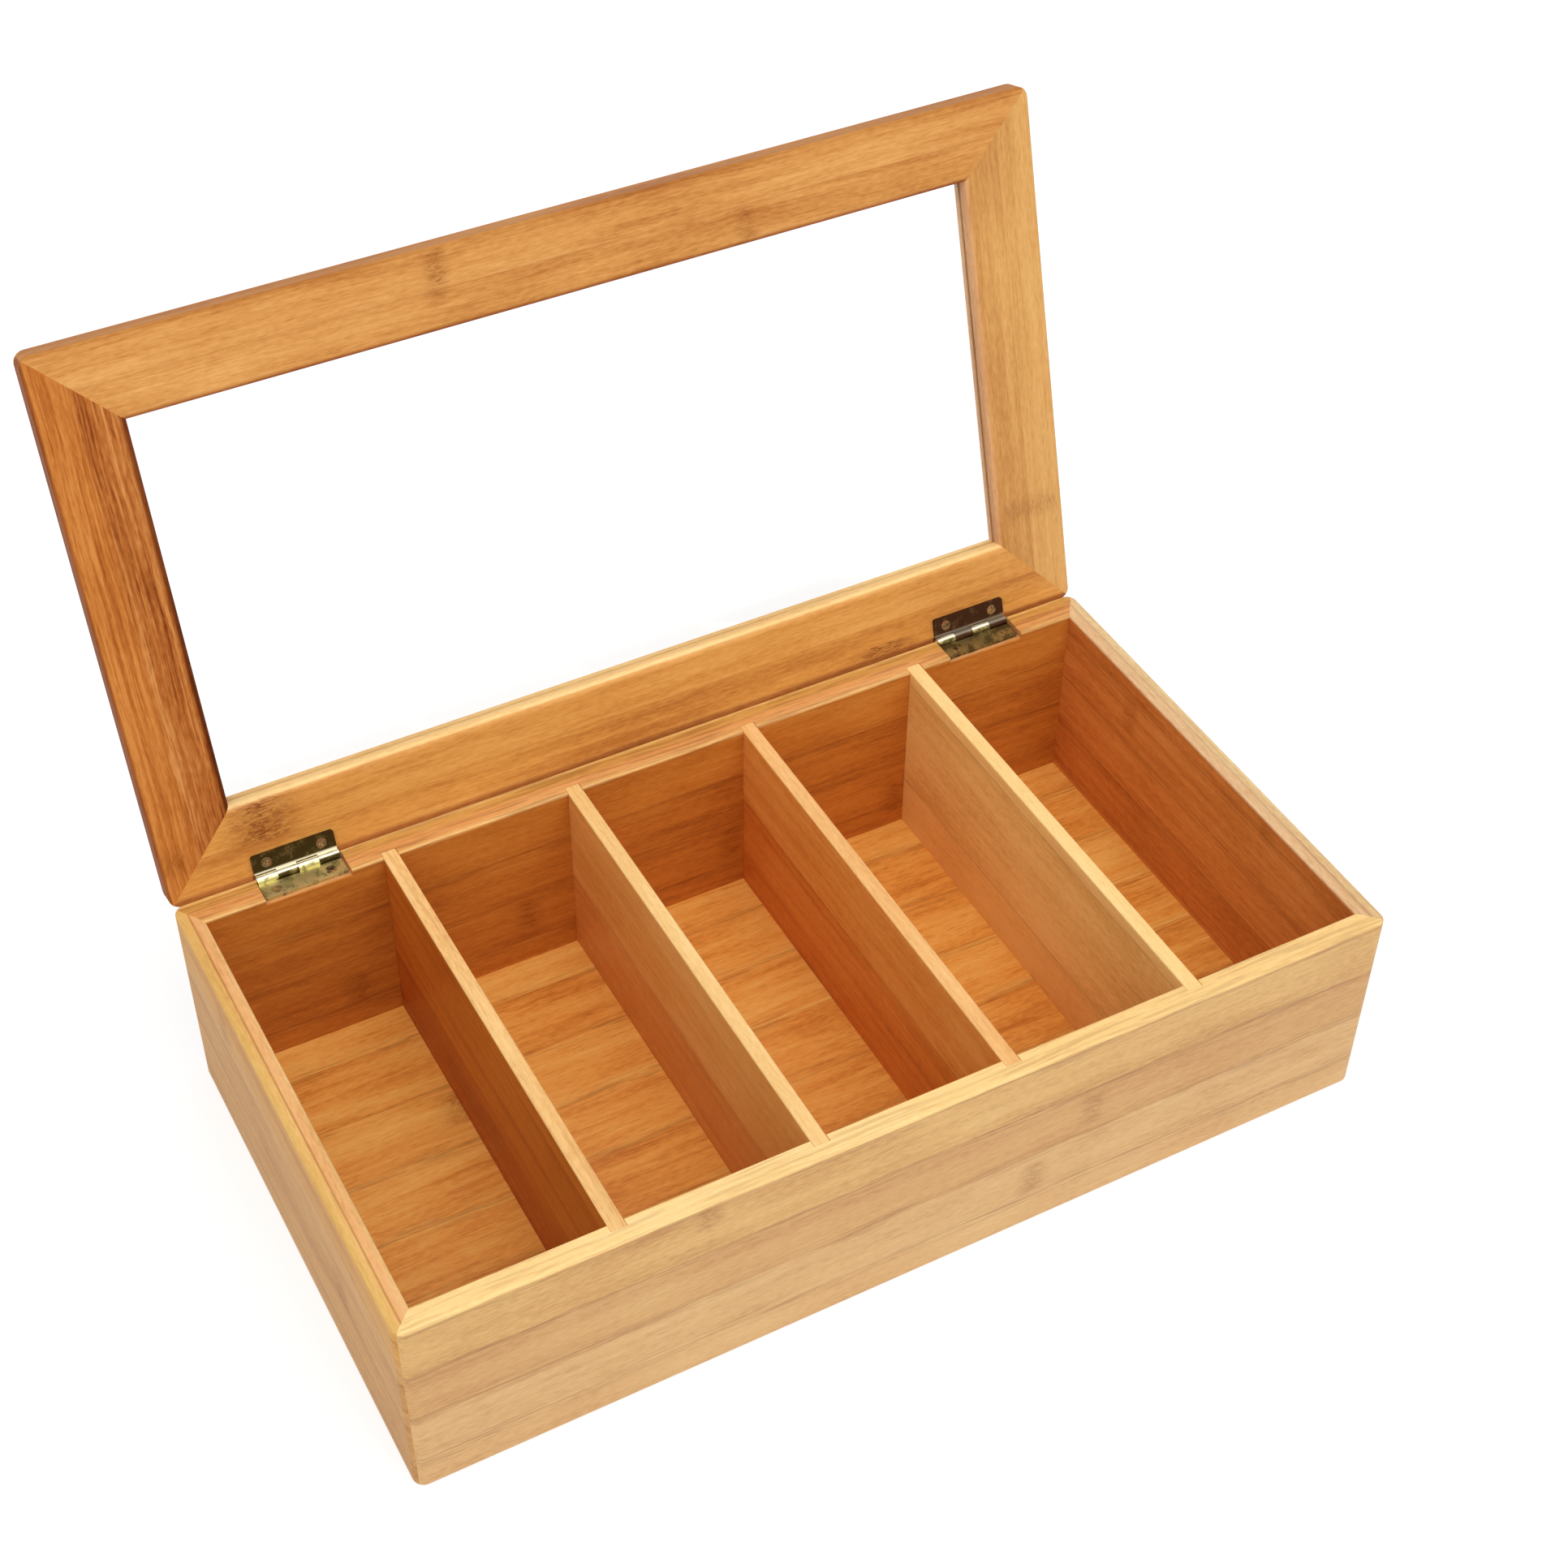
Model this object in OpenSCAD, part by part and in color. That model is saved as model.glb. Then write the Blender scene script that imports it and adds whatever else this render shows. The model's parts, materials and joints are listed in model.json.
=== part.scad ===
// Tea box of bamboo boards: five compartments under a framed clear lid,
// which turns on two small brass stop hinges let into the rear wall.
//
// X runs to the right, Y to the rear and Z up. The origin is the centre of
// the underside. The lid is drawn open, where its hinges' stops hold it.

/* [Box] */
// Length of the box, left to right
box_w = 360; // [320:5:420]
// Depth of the box, front to rear
box_d = 196; // [160:2:240]
// Height of the rim above the table
box_h = 81.5; // [60:0.5:110]
// Thickness of the front, left and right walls
wall_t = 8; // [7:0.5:12]
// Thickness of the rear wall, which holds the hinge screws
rear_t = 11.5; // [10:0.5:14]
// Radius of the upright corners, in plan
corner_r = 4; // [3.5:0.5:7]
// Radius of the rim's rounded outer arris
rim_r = 1.25; // [1:0.25:3]
// Radius of the arris that stands on the table
foot_r = 1; // [0.5:0.25:2]
// Radius of the sanded inner arrises
sanded_r = 0.6; // [0.3:0.1:1]

/* [Floor and dividers] */
// Thickness of the floor panel
floor_t = 6; // [4:0.5:10]
// Width of the rabbet that the floor panel sits in
rabbet_w = 4; // [2.5:0.5:5]
// Thickness of a divider
divider_t = 5.6; // [4:0.2:8]
// Depth of the dado that takes each end of a divider
dado_d = 3; // [2:0.5:4.5]
// Clearance around a glued board in its groove
glue_gap = 0.05; // [0.05:0.05:0.2]

/* [Lid] */
// Thickness of the lid's frame
lid_t = 10; // [9:0.5:14]
// Width of the front rail and the stiles
rail_w = 28; // [24:1:36]
// Width of the rear rail, which holds the hinge screws
rear_rail_w = 30; // [26:1:40]
// Radius of the lid's upper outer arris
lid_r = 2.5; // [1:0.25:3]
// Radius of the outer arris on the lid's inner face
lip_r = 0.5; // [0.5:0.25:2]
// Radius of the window's arris on the inner face
window_r = 3; // [1:0.25:3.5]
// Radius of the window's arris on the outer face
bezel_r = 1.5; // [0.5:0.25:1.75]
// Thickness of the clear pane
pane_t = 2; // [1.5:0.25:3]
// Height of the pane's underside above the lid's inner face
pane_z = 4.5; // [4:0.25:5]
// Depth of the groove that holds the pane
groove_d = 5; // [3:0.5:8]
// Gap between the closed lid and the rim
lid_gap = 0.1; // [0.05:0.05:0.5]
// Angle between the rim and the open lid, where the stops meet
lid_open = 107; // [95:1:120]

/* [Hinges] */
// Length of a hinge
hinge_len = 30; // [26:1:40]
// Distance from the end of the box to a hinge
hinge_inset = 30; // [20:1:60]
// Thickness of a leaf
leaf_t = 1; // [0.8:0.1:1.2]
// Width of a leaf, from the pin's axis to its free edge
leaf_w = 9.3; // [8.5:0.1:9.8]
// Radius of a leaf's free corners
leaf_r = 1; // [0.5:0.25:2]
// Gap between the two leaves when the lid is closed
leaf_gap = 0.6; // [0.4:0.1:1]
// Distance from the rear face in to the pin's axis
pin_inset = 0.4; // [0:0.1:0.4]
// Radius of the hinge pin
pin_r = 0.9; // [0.7:0.05:1]
// Outer radius of a knuckle
knuckle_r = 1.9; // [1.7:0.05:1.95]
// Running clearance around the pin
pin_gap = 0.05; // [0.03:0.01:0.08]
// Gap between two knuckles
knuckle_gap = 0.15; // [0.1:0.05:0.3]
// Reach of a stop lug from the pin's axis
lug_reach = 4.6; // [3.6:0.1:6]
// Thickness of a stop lug
lug_t = 0.8; // [0.6:0.1:0.9]
// Length of the face where the two lugs meet
lug_len = 3.4; // [2:0.2:5]

/* [Screws] */
// Distance from the end of a leaf to its screws
screw_inset = 5; // [4:0.25:7]
// Radius of a screw's head
head_r = 1.9; // [1.6:0.1:2.2]
// Height of a screw's countersunk head
head_h = 0.8; // [0.6:0.05:0.8]
// Radius of a screw's shank
shank_r = 1; // [0.7:0.05:1.2]
// Length of a screw
screw_len = 8; // [6:0.5:8]
// Clearance of a screw in its hole
screw_gap = 0.05; // [0.03:0.01:0.1]

/* [Hidden] */

$fn = 48;
// How far a cut runs past the face that it opens
over = 1;

// Colours of the parts
rim_tan = [0.90, 0.70, 0.44];
wall_tan = [0.84, 0.64, 0.40];
floor_amber = [0.78, 0.50, 0.20];
divider_tan = [0.87, 0.66, 0.38];
lid_gold = [0.82, 0.56, 0.28];
stile_gold = [0.78, 0.49, 0.24];
clear_pane = [0.90, 0.95, 0.97, 0.3];
old_brass = [0.45, 0.38, 0.20];
pin_brass = [0.75, 0.68, 0.42];
screw_brass = [0.60, 0.53, 0.33];

// The four sides in order round the box, and the signs of X and Y at the
// corner where each starts
SIDES = ["front", "right", "rear", "left"];
CORNERS = [[-1, -1], [1, -1], [1, 1], [-1, 1]];
function side_number(side) = search([side], SIDES)[0];
function turn_of(side) = side_number(side) * 90;
function along_x(side) = side_number(side) % 2 == 0;

// Inside of the box
inner_w = box_w - 2 * wall_t;
inner_front = -box_d / 2 + wall_t;
inner_rear = box_d / 2 - rear_t;
inner_d = inner_rear - inner_front;

// Dividers stand at equal distances between the end walls
divider_count = 4;
pitch = (inner_w + divider_t) / (divider_count + 1);
function divider_x(i) = -inner_w / 2 + i * pitch - divider_t / 2;

// Window in the lid, and the pane's groove
window_w = box_w - 2 * rail_w;
window_front = -box_d / 2 + rail_w;
window_rear = box_d / 2 - rear_rail_w;
window_d = window_rear - window_front;
window_y = (window_front + window_rear) / 2;
// Clearance above, below and beyond the pane in its groove
pane_slack = 0.1;
pane_lap = groove_d - pane_slack;

// Riveted heads of the pin, and the room beyond each
pin_head_t = 0.4;
pin_head_r = pin_r + 0.5;
pin_head_gap = 0.2;

// The mortise in the rear wall takes both leaves of a closed hinge
mortise_d = 2 * leaf_t + leaf_gap;
mortise_gap = pin_head_t + pin_head_gap;
mortise_len = hinge_len + 2 * mortise_gap;
pin_y = box_d / 2 - pin_inset;
pin_z = box_h - mortise_d / 2;
lid_z = box_h + lid_gap;
hinge_x = box_w / 2 - hinge_inset - hinge_len / 2;

// Four knuckles to a hinge; the box leaf holds the first and the third
knuckle_count = 4;
knuckle_len = hinge_len / knuckle_count;
function knuckle_start(k) = -hinge_len / 2 + k * knuckle_len;

// Radius of the room that a leaf or a board leaves around a knuckle
relief_gap = 0.3;
relief_r = knuckle_r + relief_gap;

// Screws stand halfway between that room and a leaf's free edge
screw_reach = (relief_r + leaf_w) / 2;
screw_y = pin_y - screw_reach;

// The box leaf's lug stands on the third knuckle, numbered from 0, and meets
// the lid leaf's lug beside the second
root_knuckle = 2;
lug_gap = 0.03;
lug_root = (pin_r + knuckle_r) / 2;
lug_x = knuckle_start(root_knuckle) - lug_len;

// Tip and cross recess of a screw
tip_h = 1.5;
tip_r = shank_r / 4;
recess_w = 0.45;
recess_d = 0.45;
recess_len = 1.2 * head_r;

// Sections that the boards are cut to

// What a rounding of radius r takes off a corner that points along +X and +Y
module arris_cut(r) {
    translate([-r, -r])
        difference() {
            square(r + over);
            circle(r);
        }
}

// Upright section from a middle plane out to a rounded face
module edge_section(reach, h, top_r, base_r) {
    difference() {
        square([reach, h]);
        translate([reach, h]) arris_cut(top_r);
        translate([reach, 0]) mirror([0, 1]) arris_cut(base_r);
    }
}

// Solids shared by the box and the lid

// Block with round upright corners and rounded upper and lower arrises
module rounded_block(w, d, h, top_r, base_r) {
    core_w = w - 2 * corner_r;
    core_d = d - 2 * corner_r;
    translate([-core_w / 2, -core_d / 2, 0]) cube([core_w, core_d, h]);
    for (side = SIDES) {
        edge_len = along_x(side) ? core_w : core_d;
        edge_out = along_x(side) ? core_d / 2 : core_w / 2;
        rotate([0, 0, turn_of(side)])
            translate([-edge_len / 2, -edge_out, 0]) {
                rotate([90, 0, 90])
                    mirror([1, 0, 0])
                        linear_extrude(edge_len) edge_section(corner_r, h, top_r, base_r);
                rotate([0, 0, 180])
                    rotate_extrude(angle = 90) edge_section(corner_r, h, top_r, base_r);
            }
    }
}

// Prism between the mitres at the two ends of a side. inner holds the four
// inner corners, and the prism runs past the outer corners.
module mitred_side(side, w, d, h, inner) {
    start = side_number(side);
    end = (start + 1) % len(CORNERS);
    function outer_corner(i) = [CORNERS[i].x * w / 2, CORNERS[i].y * d / 2];
    function past(i) = 2 * outer_corner(i) - inner[i];
    linear_extrude(h) polygon([past(start), past(end), inner[end], inner[start]]);
}

// Runs a section along one side of an opening. The section's X points from
// the opening into the board, and its Y points up.
module along_side(side, opening_w, mid_y, opening_d) {
    run = (along_x(side) ? opening_w : opening_d) + 2 * rail_w;
    edge_out = along_x(side) ? opening_d / 2 : opening_w / 2;
    translate([0, mid_y, 0])
        rotate([0, 0, turn_of(side) + 180])
            translate([0, edge_out, 0])
                rotate([90, 0, 90])
                    linear_extrude(run, center = true) children();
}

// Round channel that lets a hinge's barrel into the rear edge of a board
module knuckle_room() {
    translate([0, pin_y, pin_z])
        rotate([0, 90, 0])
            cylinder(h = mortise_len, r = relief_r, center = true);
}

// Box

// Wall with a rabbet for the floor and a sanded inner arris on the rim
module wall(side) {
    inner = [
        [-inner_w / 2, inner_front], [inner_w / 2, inner_front],
        [inner_w / 2, inner_rear], [-inner_w / 2, inner_rear]
    ];
    difference() {
        intersection() {
            rounded_block(box_w, box_d, box_h, rim_r, foot_r);
            mitred_side(side, box_w, box_d, box_h, inner);
        }
        along_side(side, inner_w, (inner_front + inner_rear) / 2, inner_d) {
            translate([-over, -over]) square([rabbet_w + over, floor_t + over]);
            translate([0, box_h]) mirror([1, 0]) arris_cut(sanded_r);
        }
    }
}

// Open-topped dadoes for the dividers, in the front or the rear wall
module dadoes(y) {
    for (i = [1 : divider_count])
        translate([divider_x(i) - divider_t / 2 - glue_gap, y - dado_d, floor_t])
            cube([divider_t + 2 * glue_gap, 2 * dado_d, box_h]);
}

module front_wall() {
    color(rim_tan)
        difference() {
            wall("front");
            dadoes(inner_front);
        }
}

// Mortise for a hinge: it opens to the inside and to the rear
module hinge_mortise() {
    translate([-mortise_len / 2, inner_rear - over, box_h - mortise_d])
        cube([mortise_len, rear_t + 2 * over, mortise_d + over]);
}

module rear_wall() {
    color(rim_tan)
        difference() {
            wall("rear");
            dadoes(inner_rear);
            for (s = [-1, 1])
                translate([s * hinge_x, 0, 0]) {
                    hinge_mortise();
                    knuckle_room();
                    translate([0, screw_y, box_h - mortise_d + leaf_t]) screw_holes();
                }
        }
}

module left_wall() {
    color(wall_tan) wall("left");
}

module right_wall() {
    color(wall_tan) wall("right");
}

module floor_panel() {
    w = inner_w + 2 * rabbet_w - 2 * glue_gap;
    d = inner_d + 2 * rabbet_w - 2 * glue_gap;
    color(floor_amber)
        translate([-w / 2, inner_front - rabbet_w + glue_gap, 0])
            cube([w, d, floor_t]);
}

// Upright board with a sanded top edge, let into the front and rear walls
module divider(i) {
    board_len = inner_d + 2 * dado_d - 2 * glue_gap;
    color(divider_tan)
        translate([divider_x(i), inner_front - dado_d + glue_gap + board_len, floor_t])
            rotate([90, 0, 0])
                linear_extrude(board_len)
                    for (s = [0, 1])
                        mirror([s, 0]) edge_section(divider_t / 2, box_h - floor_t, sanded_r, 0);
}

// Lid

// Turns what is drawn on the closed lid to where the stops hold it
module opened() {
    translate([0, pin_y, pin_z])
        rotate([-lid_open, 0, 0])
            translate([0, -pin_y, -pin_z])
                children();
}

// Rail or stile of the closed lid, with rounded window arrises and a groove
module rail(side) {
    inner = [for (c = CORNERS) [c.x * window_w / 2, window_y + c.y * window_d / 2]];
    translate([0, 0, lid_z])
        difference() {
            intersection() {
                rounded_block(box_w, box_d, lid_t, lid_r, lip_r);
                mitred_side(side, box_w, box_d, lid_t, inner);
            }
            along_side(side, window_w, window_y, window_d) {
                mirror([1, 0]) mirror([0, 1]) arris_cut(window_r);
                translate([0, lid_t]) mirror([1, 0]) arris_cut(bezel_r);
                translate([-over, pane_z - pane_slack])
                    square([groove_d + over, pane_t + 2 * pane_slack]);
            }
        }
}

module lid_front_rail() {
    color(lid_gold) opened() rail("front");
}

module lid_rear_rail() {
    color(lid_gold)
        opened()
            difference() {
                rail("rear");
                for (s = [-1, 1])
                    translate([s * hinge_x, 0, 0]) {
                        knuckle_room();
                        translate([0, screw_y, lid_z - leaf_t])
                            mirror([0, 0, 1]) screw_holes();
                    }
            }
}

module lid_left_stile() {
    color(stile_gold) opened() rail("left");
}

module lid_right_stile() {
    color(stile_gold) opened() rail("right");
}

module lid_pane() {
    w = window_w + 2 * pane_lap;
    d = window_d + 2 * pane_lap;
    color(clear_pane)
        opened()
            translate([-w / 2, window_y - d / 2, lid_z + pane_z])
                cube([w, d, pane_t]);
}

// Hinges, each drawn about its own middle with the pin's axis along X

// Outline of a leaf from the pin's axis to its free edge, along -Y
module leaf_outline() {
    difference() {
        translate([-hinge_len / 2, -leaf_w]) square([hinge_len, leaf_w]);
        for (s = [0, 1])
            mirror([s, 0])
                translate([hinge_len / 2, -leaf_w]) mirror([0, 1]) arris_cut(leaf_r);
    }
}

// Round bar on the pin's axis, as long as knuckle k less a gap
module knuckle_bar(k, r, gap) {
    translate([knuckle_start(k) + gap / 2, 0, 0])
        rotate([0, 90, 0])
            cylinder(h = knuckle_len - gap, r = r);
}

// Leaf whose plate lies below the axis. It has every other knuckle, from the
// one numbered first, and leaves room for the rest.
module leaf(first, plate_z) {
    difference() {
        union() {
            difference() {
                translate([0, 0, plate_z]) linear_extrude(leaf_t) leaf_outline();
                for (k = [1 - first : 2 : knuckle_count - 1])
                    translate([knuckle_start(k) - knuckle_gap / 2, -relief_r, plate_z - over])
                        cube([knuckle_len + knuckle_gap, 2 * relief_r, leaf_t + 2 * over]);
            }
            for (k = [first : 2 : knuckle_count - 1])
                knuckle_bar(k, knuckle_r, knuckle_gap);
        }
        rotate([0, 90, 0])
            cylinder(h = hinge_len + over, r = pin_r + pin_gap, center = true);
        translate([0, -screw_reach, plate_z + leaf_t]) screw_holes();
    }
}

// Stop lug of the box leaf: it stands on its own knuckle and reaches past the
// next one without touching it
module box_lug() {
    root_start = knuckle_start(root_knuckle) + knuckle_gap / 2;
    root_end = knuckle_start(root_knuckle + 1) - knuckle_gap / 2;
    rotate([-lid_open / 2, 0, 0]) {
        translate([root_start, lug_root, -lug_t])
            cube([root_end - root_start, lug_reach - lug_root, lug_t]);
        translate([lug_x, relief_r, -lug_t])
            cube([root_end - lug_x, lug_reach - relief_r, lug_t]);
    }
}

// Stop lug of the lid leaf, on the second knuckle of the closed lid
module lid_lug() {
    rotate([lid_open / 2, 0, 0])
        translate([lug_x, lug_root, lug_gap])
            cube([lug_len - knuckle_gap / 2, lug_reach - lug_root, lug_t]);
}

// The middle of the left hinge (s = -1) or of the right one (s = 1)
module at_hinge(s) {
    translate([s * hinge_x, pin_y, pin_z]) children();
}

module box_leaf(s) {
    color(old_brass)
        at_hinge(s) {
            leaf(0, -mortise_d / 2);
            box_lug();
        }
}

module lid_leaf(s) {
    color(old_brass)
        opened()
            at_hinge(s) {
                mirror([0, 0, 1]) leaf(1, -mortise_d / 2 - lid_gap);
                lid_lug();
            }
}

// Pin with a small riveted head at each end
module hinge_pin(s) {
    color(pin_brass)
        at_hinge(s)
            rotate([0, 90, 0]) {
                cylinder(h = hinge_len, r = pin_r, center = true);
                for (e = [0, 1])
                    mirror([0, 0, e])
                        translate([0, 0, hinge_len / 2])
                            cylinder(h = pin_head_t, r1 = pin_head_r, r2 = pin_r);
            }
}

// Screws

// Countersunk screw: the head's flat face is at Z = 0 and the tip points down
module screw() {
    difference() {
        union() {
            translate([0, 0, -head_h]) cylinder(h = head_h, r1 = shank_r, r2 = head_r);
            translate([0, 0, -screw_len + tip_h])
                cylinder(h = screw_len - tip_h - head_h, r = shank_r);
            translate([0, 0, -screw_len])
                cylinder(h = tip_h, r1 = tip_r, r2 = shank_r);
        }
        for (a = [0, 90])
            rotate([0, 0, a])
                translate([-recess_len / 2, -recess_w / 2, -recess_d])
                    cube([recess_len, recess_w, recess_d + over]);
    }
}

// Holes for the two screws of a leaf, countersunk at Z = 0
module screw_holes() {
    for (s = [-1, 1])
        translate([s * (hinge_len / 2 - screw_inset), 0, 0]) {
            translate([0, 0, -head_h])
                cylinder(h = head_h, r1 = shank_r + screw_gap, r2 = head_r + screw_gap);
            translate([0, 0, -screw_len - screw_gap])
                cylinder(h = screw_len, r = shank_r + screw_gap);
        }
}

// The two screws of a leaf, flush with its face
module leaf_screws() {
    for (s = [-1, 1])
        translate([s * (hinge_len / 2 - screw_inset), 0, 0]) screw();
}

module box_screws(s) {
    color(screw_brass)
        translate([s * hinge_x, screw_y, box_h - mortise_d + leaf_t]) leaf_screws();
}

module lid_screws(s) {
    color(screw_brass)
        opened()
            translate([s * hinge_x, screw_y, lid_z - leaf_t])
                mirror([0, 0, 1]) leaf_screws();
}

front_wall();
rear_wall();
left_wall();
right_wall();
floor_panel();
divider(1);  // divider_1
divider(2);  // divider_2
divider(3);  // divider_3
divider(4);  // divider_4
lid_front_rail();
lid_rear_rail();
lid_left_stile();
lid_right_stile();
lid_pane();
box_leaf(-1);  // left_hinge_box_leaf
lid_leaf(-1);  // left_hinge_lid_leaf
hinge_pin(-1);  // left_hinge_pin
box_screws(-1);  // left_hinge_box_screws
lid_screws(-1);  // left_hinge_lid_screws
box_leaf(1);  // right_hinge_box_leaf
lid_leaf(1);  // right_hinge_lid_leaf
hinge_pin(1);  // right_hinge_pin
box_screws(1);  // right_hinge_box_screws
lid_screws(1);  // right_hinge_lid_screws
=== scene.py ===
# %% [markdown]
# # A bamboo tea box with a glazed lid
#
# The box is made of glued bamboo boards: five compartments under a framed lid that swings on two
# small brass hinges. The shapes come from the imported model, one object for each board, so this
# lesson is about finish: bamboo that looks like bamboo on every side, old brass, clear glazing,
# and screws that look driven by hand.

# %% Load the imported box
import json
import math

import bpy
import numpy as np
from mathutils import Euler, Matrix, Vector


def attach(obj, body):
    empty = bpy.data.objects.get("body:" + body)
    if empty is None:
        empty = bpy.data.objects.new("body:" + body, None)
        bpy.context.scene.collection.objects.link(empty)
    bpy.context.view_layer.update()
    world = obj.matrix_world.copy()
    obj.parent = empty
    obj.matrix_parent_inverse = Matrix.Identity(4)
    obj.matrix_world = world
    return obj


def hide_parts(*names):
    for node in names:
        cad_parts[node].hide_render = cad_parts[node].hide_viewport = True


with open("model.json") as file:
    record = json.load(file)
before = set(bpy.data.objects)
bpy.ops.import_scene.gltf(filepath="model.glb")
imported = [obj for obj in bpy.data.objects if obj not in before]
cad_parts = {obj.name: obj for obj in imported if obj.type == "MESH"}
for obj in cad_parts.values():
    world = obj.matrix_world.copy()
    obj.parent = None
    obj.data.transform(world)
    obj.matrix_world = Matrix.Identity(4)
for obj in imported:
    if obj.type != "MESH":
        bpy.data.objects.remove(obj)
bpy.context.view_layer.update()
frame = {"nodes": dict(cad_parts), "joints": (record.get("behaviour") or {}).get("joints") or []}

print("boards and fittings:", len(frame["nodes"]))

# %% [markdown]
# ## Where the lid is
#
# The box is packed with its lid open, so the lid's boards lie tilted in space. Wood is easier to
# describe flat on the bench: every board of the lid is turned back shut about its hinge pin before
# its grain is laid out. The pin's place and the opening angle are the joint's own, so the grain
# stays on the boards if the hinge is ever moved.

# %% The turn that shuts the lid
PER_METRE = 1000.0
HINGE = frame["joints"][0]
PIN = Vector(HINGE["pos_m"]) * PER_METRE
SHUT = Matrix.Rotation(math.radians(HINGE["range_deg"][1]), 3, Vector(HINGE["axis"]))
STILL = Matrix.Identity(3)


def shut_place(turn):
    """Millimetres to add after a turn about the origin, so that it becomes a turn about the pin."""
    return PIN - turn @ PIN


print("hinge pin at", tuple(round(c, 2) for c in PIN), "mm; shuts over", HINGE["range_deg"][1])

# %% [markdown]
# ## A ruler for each board
#
# A cabinetmaker thinks of a board by its length along the grain, its width across the strips and
# its thickness. Each board gets such a ruler: a turn and a shift that take a point of the box, in
# millimetres, to (along, across, deep), counted from the board's own corner. The shader's Mapping
# node does the same turn, so a knot written at 96 mm along is 96 mm along on the render too.

# %% Measure every board along its own grain
X, Y, Z = Vector((1, 0, 0)), Vector((0, 1, 0)), Vector((0, 0, 1))


class Ruler:
    """Board coordinates: along the grain, across the strips, and deep from the first face."""

    def __init__(self, node, across, deep, lid=False):
        shut = SHUT if lid else STILL
        rows = Matrix((across.cross(deep), across, deep))
        self.turn = rows @ shut
        shift = rows @ shut_place(shut)
        points = np.array([v.co for v in frame["nodes"][node].data.vertices]) * PER_METRE
        moved = points @ np.array(self.turn).T + np.array(shift)
        self.size = moved.max(0) - moved.min(0)
        self.shift = shift - Vector(moved.min(0))


INWARD = {"front": Y, "rear": -Y, "left": X, "right": -X}
RULERS = {}
for side, inward in INWARD.items():
    RULERS[side + "_wall"] = Ruler(side + "_wall", Z, inward)
for name, side in (
    ("lid_front_rail", "front"),
    ("lid_rear_rail", "rear"),
    ("lid_left_stile", "left"),
    ("lid_right_stile", "right"),
):
    RULERS[name] = Ruler(name, INWARD[side], Z, lid=True)
DIVIDERS = [f"divider_{number}" for number in range(1, 5)]
for name in DIVIDERS:
    RULERS[name] = Ruler(name, Z, X)
RULERS["floor_panel"] = Ruler("floor_panel", Y, Z)
for name, ruler in RULERS.items():
    print(f"{name}: {ruler.size.round(1)} mm along, across, deep")

# %% [markdown]
# ## Small tools for shader trees
#
# A shader written in script is a long list of nodes and wires. These few helpers keep it
# readable: one adds a node with its inputs, one adds a sum, and one turns a range of values into
# a soft step between nothing and full.

# %% Helpers for wiring


def screen(red, green, blue):
    """A colour as a screen shows it, 0 to 255, in the linear light that shaders use."""
    parts = [c / 255 for c in (red, green, blue)]
    light = [p / 12.92 if p <= 0.04045 else ((p + 0.055) / 1.055) ** 2.4 for p in parts]
    return (*light, 1.0)


def add(tree, kind, inputs=(), family="ShaderNode", **settings):
    """One node; inputs are wired when they are sockets and set when they are values."""
    made = tree.nodes.new(family + kind)
    for name, value in settings.items():
        setattr(made, name, value)
    for socket, value in dict(inputs).items():
        if isinstance(value, bpy.types.NodeSocket):
            tree.links.new(value, made.inputs[socket])
        else:
            made.inputs[socket].default_value = value
    return made


def sum_of(tree, operation, *values):
    """The outcome of one Math node."""
    made = add(tree, "Math", dict(enumerate(values)), operation=operation)
    return made.outputs[0]


def step(tree, value, start, end, low=0.0, high=1.0):
    """Goes softly from low at start to high at end."""
    inputs = {"Value": value, "From Min": start, "From Max": end, "To Min": low, "To Max": high}
    made = add(tree, "MapRange", inputs, interpolation_type="SMOOTHSTEP")
    return made.outputs["Result"]


def tinted(tree, colour, by, share, blend="MULTIPLY"):
    """The colour changed by another one, as far as share says."""
    inputs = {0: share, 6: colour, 7: by}
    return add(tree, "Mix", inputs, data_type="RGBA", blend_type=blend).outputs[2]


def new_finish(name):
    """An empty material: its tree and its surface shader."""
    material = bpy.data.materials.new(name)
    material.use_nodes = True
    tree = material.node_tree
    tree.nodes.clear()
    shader = add(tree, "BsdfPrincipled")
    output = add(tree, "OutputMaterial")
    tree.links.new(shader.outputs[0], output.inputs["Surface"])
    return material, tree, shader


print("a bamboo tan in linear light:", [round(c, 3) for c in screen(214, 170, 115)])

# %% [markdown]
# ## Bamboo, one layer at a time
#
# Bamboo board is not sawn from a trunk. Narrow strips are split from the stem, planed, and glued
# edge to edge, so the board shows straight glue seams, a slightly different tone in every strip,
# and no rings or knots. What it has instead are fibres: fine dark hairs that run dead straight,
# and every so often the stem's node, a short patch of crooked dashes that crosses one strip only.
#
# First come the ruler's coordinates, the strip's number, and three random numbers for each strip,
# which also move the strip's fibres so that no pattern runs on over a seam.

# %% Coordinates, strips and seams


def on_the_ruler(tree, ruler):
    """The board's own coordinates in millimetres, as one vector and as three named numbers."""
    inputs = {
        "Vector": add(tree, "TexCoord").outputs["Object"],
        "Location": ruler.shift,
        "Rotation": ruler.turn.to_euler("XYZ"),
        "Scale": (PER_METRE,) * 3,
    }
    board = add(tree, "Mapping", inputs, vector_type="POINT").outputs[0]
    parts = add(tree, "SeparateXYZ", {0: board}).outputs
    return board, dict(zip(("along", "across", "deep"), parts))


FIBRE_JUMP = (400.0, 90.0, 90.0)
BEND_SIZE = (42, 30, 30)


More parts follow.
